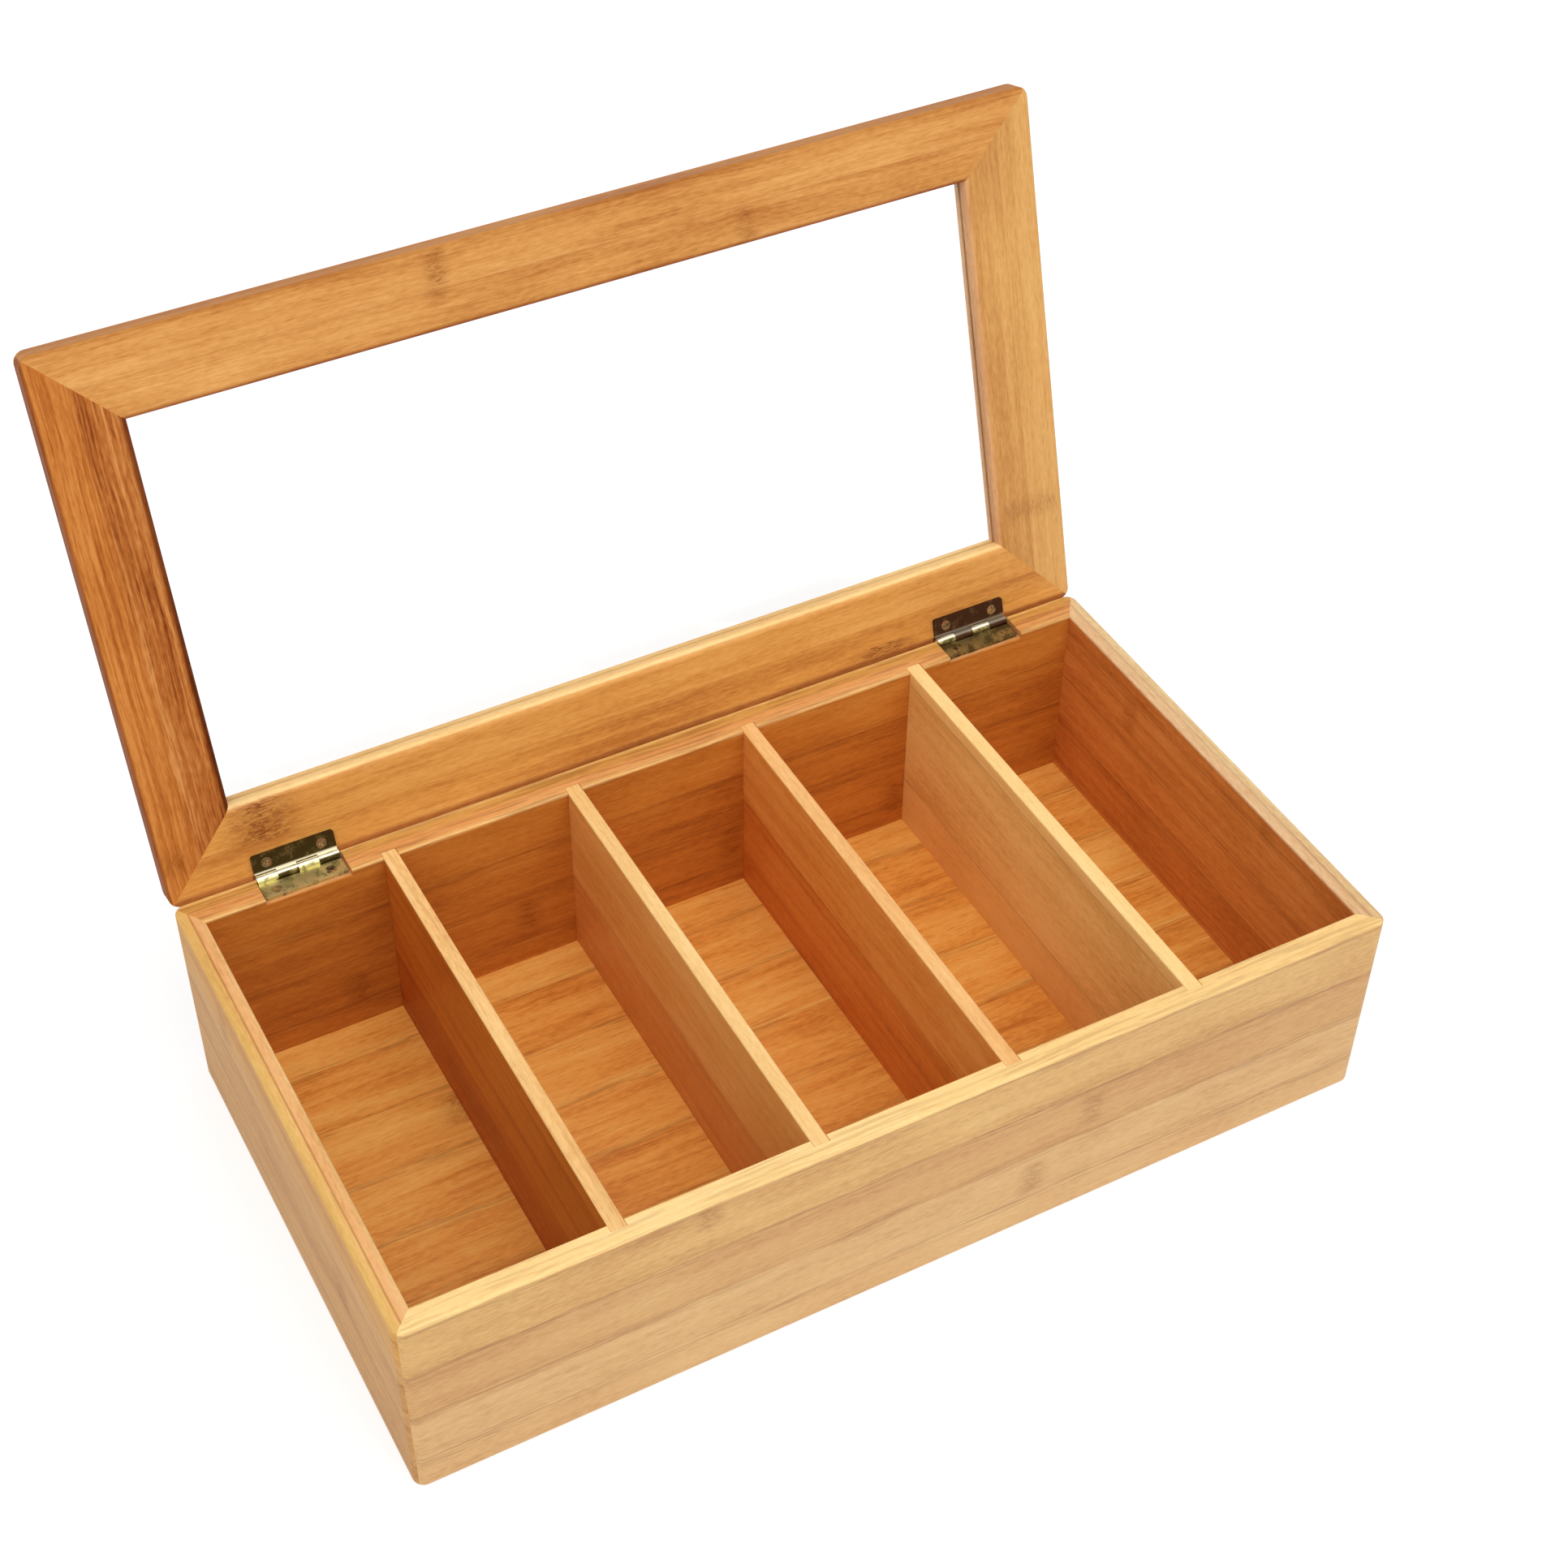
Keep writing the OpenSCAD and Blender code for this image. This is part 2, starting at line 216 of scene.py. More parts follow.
def strips(tree, board, across, width, start, seed, wave):
    """Fibre coordinates of each strip, three random numbers, and the distance to the seam."""
    count = sum_of(tree, "DIVIDE", sum_of(tree, "SUBTRACT", across, start), width)
    number = sum_of(tree, "FLOOR", count)
    inside = sum_of(tree, "FRACT", count)
    inputs = {"W": sum_of(tree, "ADD", number, seed)}
    dice = add(tree, "TexWhiteNoise", inputs, noise_dimensions="1D").outputs["Color"]
    inputs = {0: dice, 1: FIBRE_JUMP, 2: board}
    moved = add(tree, "VectorMath", inputs, operation="MULTIPLY_ADD").outputs[0]
    inputs = {0: moved, 1: [1 / size for size in BEND_SIZE]}
    stretched = add(tree, "VectorMath", inputs, operation="MULTIPLY").outputs[0]
    bend = add(tree, "TexNoise", {"Vector": stretched, "Scale": 1.0}).outputs["Color"]
    inputs = {0: bend, 1: (0.0, 2 * wave, 2 * wave), 2: moved}
    waved = add(tree, "VectorMath", inputs, operation="MULTIPLY_ADD").outputs[0]
    nearer = sum_of(tree, "MINIMUM", inside, sum_of(tree, "SUBTRACT", 1.0, inside))
    to_seam = sum_of(tree, "MULTIPLY", nearer, width)
    return waved, add(tree, "SeparateXYZ", {0: dice}).outputs, to_seam


print("fibres jump by up to", FIBRE_JUMP[0], "mm from strip to strip")

# %% [markdown]
# ## Fibres
#
# One noise, drawn out along the grain, makes every kind of streak: long soft bands of tone, fine
# hairs, short flecks, and dark dashes where a vessel is cut. Only its length and width in
# millimetres change. The streaks are then added up around a middle value, each with its own weight.

# %% Streaks along the grain


def streaks(tree, fibres, length, width, detail=2.0, wander=0.0):
    """Noise with streaks of about this length and width, in millimetres."""
    inputs = {0: fibres, 1: (1 / length, 1 / width, 1 / width)}
    drawn = add(tree, "VectorMath", inputs, operation="MULTIPLY").outputs[0]
    inputs = {"Vector": drawn, "Scale": 1.0, "Detail": detail, "Distortion": wander}
    return add(tree, "TexNoise", inputs).outputs["Fac"]


def weighed(tree, parts):
    """A half, plus each value's distance from a half times its weight."""
    total = 0.5 - sum(weight for _, weight in parts) / 2
    for value, weight in parts:
        total = sum_of(tree, "MULTIPLY_ADD", value, weight, total)
    return total


DARK_AT, LIGHT_AT = 0.12, 0.88


def toned(tree, tone, tones):
    """The colour at this place on a ramp from dark through middle to light bamboo."""
    dark, middle, light = tones
    ramp = add(tree, "ValToRGB", {0: tone})
    stops = ramp.color_ramp.elements
    stops[0].position, stops[0].color = DARK_AT, screen(*dark)
    stops[1].position, stops[1].color = LIGHT_AT, screen(*light)
    stops.new(0.5).color = screen(*middle)
    return ramp.outputs[0]


# %% [markdown]
# ## Stem nodes
#
# A node is where a leaf ring stood on the stem. On a planed strip it is a patch about a
# centimetre long, full of short crooked dashes, and it stops dead at the seams. Each one here is a
# soft-ended box at a measured place on the board, filled by a coarse, wandering streak noise over
# a faint brown haze.

# %% Marks of stem nodes


NODE = screen(138, 70, 10)
DASH_SIZE, DASH_WANDER = (4.2, 1.0), 1.6
DASH_EDGE = (0.42, 0.62)
SIDE_FADE, HAZE = 0.7, 0.34


def stem_nodes(tree, fibres, places, marks):
    """Full where dashes are. A mark is (along, across, half length, half width, strength)."""
    crooked = streaks(tree, fibres, *DASH_SIZE, wander=DASH_WANDER)
    dashes = step(tree, crooked, *DASH_EDGE)
    total = 0.0
    for along, across, length, half, strength in marks:
        reach = sum_of(tree, "ABSOLUTE", sum_of(tree, "SUBTRACT", places["along"], along))
        side = sum_of(tree, "ABSOLUTE", sum_of(tree, "SUBTRACT", places["across"], across))
        middle = step(tree, reach, length, 0.0, high=strength)
        within = step(tree, side, half, half * SIDE_FADE)
        patch = sum_of(tree, "MULTIPLY", middle, within)
        total = sum_of(tree, "MAXIMUM", total, patch)
    filled = sum_of(tree, "MULTIPLY_ADD", dashes, 1.0 - HAZE, HAZE)
    return sum_of(tree, "MULTIPLY", total, filled)


print("node dashes, millimetres:", DASH_SIZE)

# %% [markdown]
# ## From streaks to tone
#
# The streaks now add up to one number, the board's tone, which picks a place on a ramp from dark
# to light bamboo. Figure says how strongly the grain shows: a plain board has little of it, a
# lively one more. The flecks and clouds are the same on every board, since every planed strip
# has them.

# %% The board's tone
HAIR = {"length": 18.0, "width": 0.6, "detail": 3.0}
CLOUD = {"length": 60.0, "width": 24.0}
FLECK = {"length": 3.4, "width": 0.9, "detail": 1.0}
HAIR_SHARE, BAND_SHARE, FLECK_SHARE, CLOUD_SHARE, STRIP_SHARE = 0.75, 1.15, 0.45, 0.6, 0.30


def board_tone(tree, fibres, dice, hairs, figure, band):
    """How light the board is at each place, around a half; band is its broad streaks' size."""
    bands = streaks(tree, fibres, *band, wander=0.35)
    flecks = streaks(tree, fibres, **FLECK)
    clouds = streaks(tree, fibres, **CLOUD)
    grain = [(hairs, HAIR_SHARE * figure), (bands, BAND_SHARE * figure)]
    rest = [(flecks, FLECK_SHARE), (clouds, CLOUD_SHARE), (dice[1], STRIP_SHARE)]
    return weighed(tree, grain + rest)


print("hairs and flecks, millimetres:", HAIR["length"], FLECK["length"])

# %% [markdown]
# ## Zones and plies
#
# A board is not the same all over. A rim shows another ply and a strip may have a tone of its own,
# while the zones on an inner face hold painted shade and bounce light, and most zones along a
# window's edge hold painted shade; the sill's holds a painted highlight. Each zone has a ramp of
# its own that takes over between two places on the ruler. On a wall's rim the plies of the board
# also show as lines along it, on some rims with painted highlights along the edges.

# %% Zones, and plies on a rim
RIM_DEPTHS = (1.8, 0.9)


def zoned(tree, colour, tone, places, zones):
    """The colour with every zone laid over it; a zone is (axis, begin, end, its ramp's tones)."""
    for axis, begin, end, tones in zones:
        share = step(tree, places[axis], begin, end)
        colour = tinted(tree, colour, toned(tree, tone, tones), share, "MIX")
    return colour


def layered(tree, colour, ruler, places, plies):
    """The colour tinted by the plies on the rim; a ply is (share of the thickness, tint)."""
    share = sum_of(tree, "DIVIDE", places["deep"], float(ruler.size[2]))
    layer = add(tree, "ValToRGB", {0: share})
    stops = layer.color_ramp.elements
    for stop, (place, ply) in zip(stops, (plies[0], plies[-1])):
        stop.position, stop.color = place, screen(*ply)
    for place, ply in plies[1:-1]:
        stops.new(place).color = screen(*ply)
    start, full = (float(ruler.size[1]) - depth for depth in RIM_DEPTHS)
    return tinted(tree, colour, layer.outputs[0], step(tree, places["across"], start, full))


print("plies show over the top", RIM_DEPTHS[0], "mm of a wall")

# %% [markdown]
# ## Vessels and glue seams
#
# A vessel is a short, thin, dark dash. A glue seam is a thin ragged line, and on many boards the
# strips' edges beside it are hatched by darker fibres, because the outer skin of the stem ended
# there.

# %% Dark dashes, seams and hatch
PORE = screen(150, 78, 24)
SEAM = screen(126, 62, 16)
VESSEL = {"length": 6.0, "width": 0.38, "detail": 1.0}
HATCH = {"length": 30.0, "width": 1.1}
HATCH_EDGE, HATCH_REACH = (0.42, 0.66), 5.0
SEAM_EDGE = (0.5, 0.08)
RAGGED_GAIN, RAGGED_START = 1.4, -0.25


def seamed(tree, colour, fibres, hairs, to_seam, seam, shade):
    """The colour with its seams and their hatch, and the seams' line on its own."""
    ragged = sum_of(tree, "MULTIPLY_ADD", hairs, RAGGED_GAIN, RAGGED_START)
    line = sum_of(tree, "MULTIPLY", step(tree, to_seam, *SEAM_EDGE, high=seam), ragged)
    colour = tinted(tree, colour, SEAM, line, "MIX")
    if shade:
        dense = step(tree, streaks(tree, fibres, **HATCH), *HATCH_EDGE)
        near = step(tree, to_seam, HATCH_REACH, 0.0, high=shade)
        colour = tinted(tree, colour, SEAM, sum_of(tree, "MULTIPLY", near, dense), "MIX")
    return colour, line


print("hatch reaches", HATCH_REACH, "mm from a seam")

# %% [markdown]
# ## Lacquer, and the whole finish
#
# The last layer is satin lacquer: a thin coat over slightly uneven wood, whose hairs and vessels
# are felt as much as seen. With it the board is complete, and one function makes every board from
# its ruler, its tones and its own marks.

# %% The bamboo board
SMOOTH_WOOD, ROUGH_HAIRS = 0.40, 0.22
WOOD_RELIEF = {"Strength": 0.22, "Distance": 0.00012}
VESSEL_RELIEF = -0.6
COAT_ROUGHNESS = 0.3
VESSEL_EDGE, VESSEL_SHARE = (0.58, 0.76), 0.36


def lacquered(tree, shader, hairs, vessel, line, gloss):
    """Roughness, a low relief and a thin coat; gloss is how much the board mirrors."""
    rough = sum_of(tree, "MULTIPLY_ADD", hairs, ROUGH_HAIRS, SMOOTH_WOOD)
    tree.links.new(rough, shader.inputs["Roughness"])
    raised = weighed(tree, [(hairs, 1.0), (vessel, VESSEL_RELIEF)])
    height = sum_of(tree, "SUBTRACT", raised, line)
    bump = add(tree, "Bump", {**WOOD_RELIEF, "Height": height})
    tree.links.new(bump.outputs[0], shader.inputs["Normal"])
    shader.inputs["Specular IOR Level"].default_value = gloss
    shader.inputs["Coat Weight"].default_value = gloss / 3
    shader.inputs["Coat Roughness"].default_value = COAT_ROUGHNESS


def bamboo(name, ruler, tones, width=20.0, start=0.0, seed=0.0, figure=1.0, wave=1.0,
           band=(110.0, 3.4), seam=0.45, shade=0.0, gloss=0.35, zones=(), marks=(), plies=()):
    """A lacquered bamboo board. Colours are screen colours, sizes millimetres."""
    material, tree, shader = new_finish(name)
    board, places = on_the_ruler(tree, ruler)
    fibres, dice, to_seam = strips(tree, board, places["across"], width, start, seed, wave)
    hairs = streaks(tree, fibres, **HAIR)
    tone = board_tone(tree, fibres, dice, hairs, figure, band)
    colour = zoned(tree, toned(tree, tone, tones), tone, places, zones)
    if plies:
        colour = layered(tree, colour, ruler, places, plies)
    vessel = streaks(tree, fibres, **VESSEL)
    dark = step(tree, vessel, *VESSEL_EDGE, high=VESSEL_SHARE * figure)
    colour = tinted(tree, colour, PORE, dark, "MIX")
    colour, line = seamed(tree, colour, fibres, hairs, to_seam, seam, shade)
    if marks:
        colour = tinted(tree, colour, NODE, stem_nodes(tree, fibres, places, marks), "MIX")
    tree.links.new(colour, shader.inputs["Base Color"])
    lacquered(tree, shader, hairs, vessel, line, gloss)
    return material


def wear(node, material):
    """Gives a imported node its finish, in every slot that it has."""
    for place in frame["nodes"][node].material_slots:
        place.material = material
    print(f"{node}: {material.name}, {len(material.node_tree.nodes)} nodes")


# %% [markdown]
# ## The four walls
#
# The walls stand on edge, so their strips run level, about 22 mm high each. Outside they are a dry
# tan; inside they are darker and redder, which is painted shade and bounce light off the other
# bamboo. On the rim the plies of the board show as lines along it: a golden outer ply, a darker
# glue line and a pinkish inner ply, and on the left and rear rims painted highlights along the
# edges. The front rim is one pale ply.

# %% Finish the walls
TOP = float(RULERS["front_wall"].size[1])
RIM = (TOP - 1.5, TOP - 0.5)
# Inner faces: painted shade and bounce light, a darker and redder tone than outside.
INSIDE_SHADE_AND_BOUNCE = ((162, 86, 26), (201, 122, 42), (221, 148, 64))
SIDE_RIM = ((202, 154, 92), (230, 186, 124), (244, 208, 150))
# Left rim plies; the light stops at the outer edge and at the inner edge are painted highlights.
SIDE_PLIES_AND_HIGHLIGHTS = (
    (0.0, (255, 250, 214)),
    (0.10, (244, 236, 200)),
    (0.40, (250, 240, 214)),
    (0.47, (206, 176, 140)),
    (0.54, (254, 232, 226)),
    (0.86, (255, 240, 234)),
    (0.95, (255, 255, 255)),
)
RIGHT_PLIES = (
    (0.0, (255, 250, 224)),
    (0.42, (250, 240, 220)),
    (0.49, (224, 204, 178)),
    (0.56, (250, 232, 214)),
    (1.0, (255, 238, 222)),
)
# Rear rim plies; the white stops at the outer edge and near the inner edge are painted highlights.
REAR_PLIES_AND_HIGHLIGHTS = (
    (0.0, (255, 255, 255)),
    (0.12, (255, 252, 240)),
    (0.20, (226, 206, 160)),
    (0.42, (232, 206, 168)),
    (0.55, (244, 210, 190)),
    (0.84, (248, 220, 204)),
    (0.95, (255, 246, 232)),
)

wear("front_wall", bamboo(
    "front_bamboo", RULERS["front_wall"], ((192, 134, 72), (226, 179, 111), (240, 200, 132)),
    width=21.8, start=14.4, seed=3.0, figure=0.36, band=(260.0, 5.0), seam=0.4, shade=0.34,
    zones=(
        ("across", 60.0, 57.0, ((178, 120, 64), (210, 158, 98), (228, 184, 120))),
        ("across", 37.5, 34.5, ((188, 132, 74), (221, 175, 115), (236, 196, 136))),
        ("deep", 7.0, 7.6, INSIDE_SHADE_AND_BOUNCE),
        ("across", *RIM, ((238, 190, 116), (250, 208, 136), (254, 220, 156))),
    ),
    marks=(
        (255.4, 75.5, 7.0, 5.5, 0.5),
        (135.1, 23.4, 8.0, 9.0, 0.45),
        (113.6, 47.3, 8.0, 9.0, 0.4),
    ),
))
wear("left_wall", bamboo(
    "left_bamboo", RULERS["left_wall"], ((188, 128, 66), (213, 161, 95), (230, 184, 118)),
    width=21.8, start=10.4, seed=11.0, figure=0.5, wave=1.4, shade=0.2, gloss=0.12,
    zones=(
        ("across", TOP - 24.0, TOP - 6.0, ((192, 124, 52), (218, 157, 75), (234, 178, 98))),
        ("deep", 7.0, 7.6, INSIDE_SHADE_AND_BOUNCE),
        ("across", *RIM, SIDE_RIM),
    ),
    plies=SIDE_PLIES_AND_HIGHLIGHTS,
    marks=((52.0, 40.0, 8.0, 9.0, 0.35), (150.0, 66.0, 8.0, 9.0, 0.35)),
))
wear("right_wall", bamboo(
    "right_bamboo", RULERS["right_wall"], ((178, 112, 60), (212, 152, 98), (236, 188, 136)),
    width=21.8, start=8.4, seed=23.0, figure=0.48, wave=1.4, shade=0.3,
    zones=(
        # Inner face: painted shade and bounce light.
        ("deep", 7.0, 7.6, ((176, 94, 34), (216, 134, 62), (232, 160, 88))),
        ("across", *RIM, ((208, 168, 122), (233, 207, 168), (246, 222, 186))),
    ),
    plies=RIGHT_PLIES,
    marks=((54.2, 65.5, 7.0, 9.0, 0.5), (137.2, 76.0, 7.0, 5.0, 0.4)),
))
wear("rear_wall", bamboo(
    "rear_bamboo", RULERS["rear_wall"], ((176, 108, 58), (210, 150, 96), (234, 184, 130)),
    width=21.8, start=16.4, seed=37.0, figure=0.52, wave=1.6, band=(70.0, 4.0), shade=0.4,
    zones=(
        ("deep", 10.5, 11.1, INSIDE_SHADE_AND_BOUNCE),
        ("across", *RIM, ((214, 156, 90), (237, 190, 116), (248, 208, 142))),
    ),
    plies=REAR_PLIES_AND_HIGHLIGHTS,
    marks=((56.0, 23.3, 8.0, 9.0, 0.6), (123.0, 28.4, 8.0, 9.0, 0.6), (206.4, 27.4, 8.0, 9.0, 0.6),
           (277.5, 20.0, 9.0, 9.0, 0.6)),
))

# %% [markdown]
# ## Floor and dividers
#
# The floor is the warmest colour in the box, with dense grain across the compartments and a
# streaky seam every 20 mm. The dividers are thin boards whose fibres run from front to back.
# No two came from the same stem: the first is dark and red, the fourth pale and smooth. Their top
# edges are cream, because there the fibres are cut along a fresh sanded edge.

# %% Finish the floor and the dividers
wear("floor_panel", bamboo(
    "floor_bamboo", RULERS["floor_panel"], ((204, 118, 36), (240, 164, 70), (252, 194, 98)),
    width=27.0, start=3.0, seed=51.0, figure=0.8, wave=1.6, band=(60.0, 4.5), seam=0.25, shade=0.35,
    zones=(("across", 40.0, 8.0, ((196, 104, 42), (234, 150, 76), (246, 180, 104))),),
    marks=((67.5, 127.6, 9.0, 9.0, 0.55), (14.0, 22.0, 9.0, 9.0, 0.6), (221.0, 90.0, 8.0, 9.0, 0.4),
           (291.0, 48.0, 8.0, 9.0, 0.5)),
))
DIVIDER_TONES = (
    ((154, 68, 12), (194, 104, 24), (214, 130, 44)),
    ((184, 108, 42), (226, 156, 74), (240, 182, 104)),
    ((174, 92, 30), (222, 140, 58), (238, 168, 84)),
    ((214, 154, 74), (248, 201, 120), (254, 216, 142)),
)
DIVIDER_FEET = (
    ((148, 62, 10), (188, 96, 22), (208, 122, 40)),
    ((168, 86, 30), (214, 134, 60), (232, 162, 88)),
    ((164, 78, 22), (212, 122, 44), (230, 150, 68)),
    ((212, 148, 70), (246, 194, 113), (253, 210, 136)),
)
DIVIDER_TOPS = (
    ((212, 148, 80), (240, 190, 120), (252, 210, 144)),
    ((208, 146, 78), (236, 187, 116), (248, 208, 142)),
    ((202, 134, 70), (234, 174, 104), (248, 196, 130)),
    ((218, 162, 92), (244, 202, 128), (252, 218, 152)),
)
SEAMS = ((30.0, 0.6), (35.0, 0.5), (42.0, 0.6), (22.0, 0.35))
TONES = zip(DIVIDER_TONES, DIVIDER_FEET, DIVIDER_TOPS)
for name, (face, foot, edge), (seam, figure) in zip(DIVIDERS, TONES, SEAMS):
    top = float(RULERS[name].size[1])
    wear(name, bamboo(
        name + "_bamboo", RULERS[name], face,
        width=48.0, start=seam - 48.0, seed=60.0 + seam, figure=figure, seam=0.6, shade=0.2,
        zones=(
            ("across", seam + 0.3, seam - 0.3, foot),
            ("across", top - 1.0, top - 0.25, edge),
        ),
    ))

# %% [markdown]
# ## The lid's frame
#
# Two rails and two stiles meet at mitres, so the grain turns a right angle at each corner. Every
# board is two narrow strips with a faint seam between them. The left stile is cut from redder
# bamboo with strong dark lines, the right one from paler, fine stock. Along the window the edge is
# rounded by hand. A thin band of painted shade runs along the window on the front rail and the left
# stile, the right stile's window edge is a lighter, pinker tan, and the sill has a pale painted
# highlight. The outer edges of both rails and of the left stile carry painted shade as well.

# %% Finish the lid's frame
wear("lid_front_rail", bamboo(
    "front_rail_bamboo", RULERS["lid_front_rail"], ((178, 106, 42), (211, 146, 75), (230, 170, 98)),
    width=14.2, start=0.0, seed=71.0, figure=0.7, wave=1.6, seam=0.3, gloss=0.15,
    zones=(
        # Painted shade on the rail's front edge, which faces up while the lid stands open.
        ("across", 1.6, 0.6, ((160, 92, 34), (192, 124, 54), (212, 150, 76))),
        # Painted shade along the window edge.
        ("across", 25.8, 27.4, ((140, 66, 22), (176, 94, 38), (200, 122, 58))),
    ),
    marks=(
        (134.6, 7.0, 6.0, 7.0, 0.7),
        (133.0, 16.0, 6.0, 4.0, 0.35),
        (245.3, 20.5, 6.0, 6.5, 0.5),
    ),
))
wear("lid_rear_rail", bamboo(
    "rear_rail_bamboo", RULERS["lid_rear_rail"], ((184, 112, 40), (217, 148, 65), (232, 170, 88)),
    width=15.0, start=0.0, seed=83.0, figure=0.7, wave=1.6, seam=0.3,
    zones=(
        # Painted shade along the lid's rear edge, low by the hinges while the lid stands open.
        ("across", 3.4, 1.6, ((140, 74, 26), (176, 104, 44), (200, 128, 60))),
        # Painted highlight on the sill along the window.
        ("across", 28.5, 29.2, ((228, 170, 94), (248, 200, 128), (254, 216, 150))),
    ),
    marks=((321.5, 21.0, 19.0, 9.0, 1.0), (79.5, 4.2, 20.0, 3.2, 1.0)),
))
wear("lid_left_stile", bamboo(
    "left_stile_bamboo", RULERS["lid_left_stile"], ((150, 78, 28), (188, 110, 46), (212, 138, 68)),
    width=14.2, start=-2.0, seed=97.0, figure=1.2, wave=1.2, band=(130.0, 2.0), seam=0.35,
    gloss=0.04,
    zones=(
        ("across", 12.0, 14.5, ((122, 54, 18), (181, 105, 46), (214, 146, 80))),
        # Painted shade on the stile's outer edge.
        ("across", 1.4, 0.5, ((110, 52, 18), (140, 72, 28), (164, 94, 44))),
        # Painted shade along the window edge.
        ("across", 24.6, 26.8, ((84, 36, 10), (118, 54, 18), (146, 76, 32))),
    ),
    marks=((15.0, 5.0, 8.0, 5.0, 0.6),),
))
wear("lid_right_stile", bamboo(
    "right_stile_bamboo", RULERS["lid_right_stile"],
    ((190, 126, 56), (216, 159, 84), (232, 181, 108)),
    width=14.2, start=0.0, seed=109.0, figure=0.6, wave=1.2, seam=0.25,
    zones=(("across", 26.0, 27.4, ((204, 144, 92), (230, 176, 124), (242, 196, 148))),),
    marks=((153.5, 14.0, 7.0, 13.5, 0.4),),
))

# %% [markdown]
# ## Old brass
#
# The hinges are stamped brass that has gone brown: a thin uneven tarnish over bright metal, which
# shows through in patches. The leaves are dull. Along the crest of the rolled barrel lies a painted
# highlight of bright, smoother metal, so the finish also measures how far a point lies from the
# crest of the barrel. Metal shows only what it mirrors, and most of the work is in how rough it is.

# %% Brass finishes
# Colour of the painted highlight along the barrel's crest.
HIGHLIGHT_TINT = screen(255, 248, 222)
CREST, CREST_REACH = (0.3, 1.5), (1.7, 1.1)
BLOTCH = {"Scale": 260.0, "Detail": 4.0}
SPECK = {"Scale": 1900.0, "Detail": 2.0}
BLOTCH_SHARE, SPECK_SHARE = 1.6, 0.7
TARNISH_SOFT, TARNISH_ROUGH, SHINE_SMOOTH = 0.18, 0.24, -0.1
BRASS_RELIEF = {"Strength": 0.25, "Distance": 0.00008}


def brass(name, bare, tarnish, covered, smooth, crest_highlight=0.0):
    """Tarnished brass: covered is the tarnish's share, the last value how bright a painted crest
    highlight is.
    """
    material, tree, shader = new_finish(name)
    place = add(tree, "TexCoord").outputs["Object"]
    blotch = add(tree, "TexNoise", {"Vector": place, **BLOTCH}).outputs["Fac"]
    speck = add(tree, "TexNoise", {"Vector": place, **SPECK}).outputs["Fac"]
    mixed = weighed(tree, [(blotch, BLOTCH_SHARE), (speck, SPECK_SHARE)])
    cover = step(tree, mixed, 1.0 - covered - TARNISH_SOFT, 1.0 - covered + TARNISH_SOFT)
    colour = tinted(tree, screen(*bare), screen(*tarnish), cover, "MIX")
    rough = sum_of(tree, "MULTIPLY_ADD", cover, TARNISH_ROUGH, smooth)
    # Painted highlight: bright, smoother metal along the upper side of the barrel's crest.
    if crest_highlight:
        inputs = {
            "Vector": place,
            "Location": (0.0, -PIN.y - CREST[0], -PIN.z - CREST[1]),
            "Scale": (0.0, PER_METRE, PER_METRE),
        }
        around = add(tree, "Mapping", inputs, vector_type="POINT").outputs[0]
        reach = add(tree, "VectorMath", {0: around}, operation="LENGTH").outputs["Value"]
        crest_shine = step(tree, reach, *CREST_REACH, high=crest_highlight)
        colour = tinted(tree, colour, HIGHLIGHT_TINT, crest_shine, "MIX")
        rough = sum_of(tree, "MULTIPLY_ADD", crest_shine, SHINE_SMOOTH, rough)
    tree.links.new(colour, shader.inputs["Base Color"])
    tree.links.new(rough, shader.inputs["Roughness"])
    bump = add(tree, "Bump", {**BRASS_RELIEF, "Height": mixed})
    tree.links.new(bump.outputs[0], shader.inputs["Normal"])
    shader.inputs["Metallic"].default_value = 1.0
    return material


# Each leaf: bare and tarnish colours, tarnish share, base roughness, and the strength of the
# painted highlight on the barrel's crest.
LEAF_TONES = {
    "left_hinge_lid_leaf": ((128, 112, 66), (70, 56, 26), 0.66, 0.34, 0.8),
    "left_hinge_box_leaf": ((206, 196, 140), (132, 118, 66), 0.38, 0.34, 0.7),
    "right_hinge_lid_leaf": ((118, 92, 62), (74, 48, 30), 0.72, 0.34, 0.2),
    "right_hinge_box_leaf": ((164, 150, 98), (96, 78, 42), 0.55, 0.34, 0.9),
}
for name, tones in LEAF_TONES.items():
    wear(name, brass(name + "_brass", *tones))
BARREL = brass("pin_brass", (240, 232, 200), (168, 148, 104), 0.28, 0.16)
SCREW = brass("screw_brass", (196, 178, 132), (92, 70, 40), 0.45, 0.26)
for side in ("left", "right"):
    wear(side + "_hinge_pin", BARREL)

# %% [markdown]
# ## Glazing
#
# The window is a thin clear sheet in a groove. Real glass both mirrors and bends light, but its
# shadow is nearly clear, which a path tracer finds hard. So lamps are let straight through by a
# transparent stand-in for shadow rays, while the eye still meets glass.

# %% Clear pane
pane_finish, tree, glass = new_finish("clear_pane")
place = add(tree, "TexCoord").outputs["Object"]
wave = add(tree, "TexNoise", {"Vector": place, "Scale": 9.0, "Detail": 1.0}).outputs["Fac"]
ripple = add(tree, "Bump", {"Strength": 0.05, "Distance": 0.0002, "Height": wave})
tree.links.new(ripple.outputs[0], glass.inputs["Normal"])
glass.inputs["Base Color"].default_value = (0.97, 0.985, 0.98, 1.0)
glass.inputs["Roughness"].default_value = 0.02
glass.inputs["Transmission Weight"].default_value = 1.0
glass.inputs["IOR"].default_value = 1.49
shadow = add(tree, "LightPath").outputs["Is Shadow Ray"]
clear = add(tree, "BsdfTransparent").outputs[0]
both = add(tree, "MixShader", {0: shadow, 1: glass.outputs[0], 2: clear})
output = next(n for n in tree.nodes if n.type == "OUTPUT_MATERIAL")
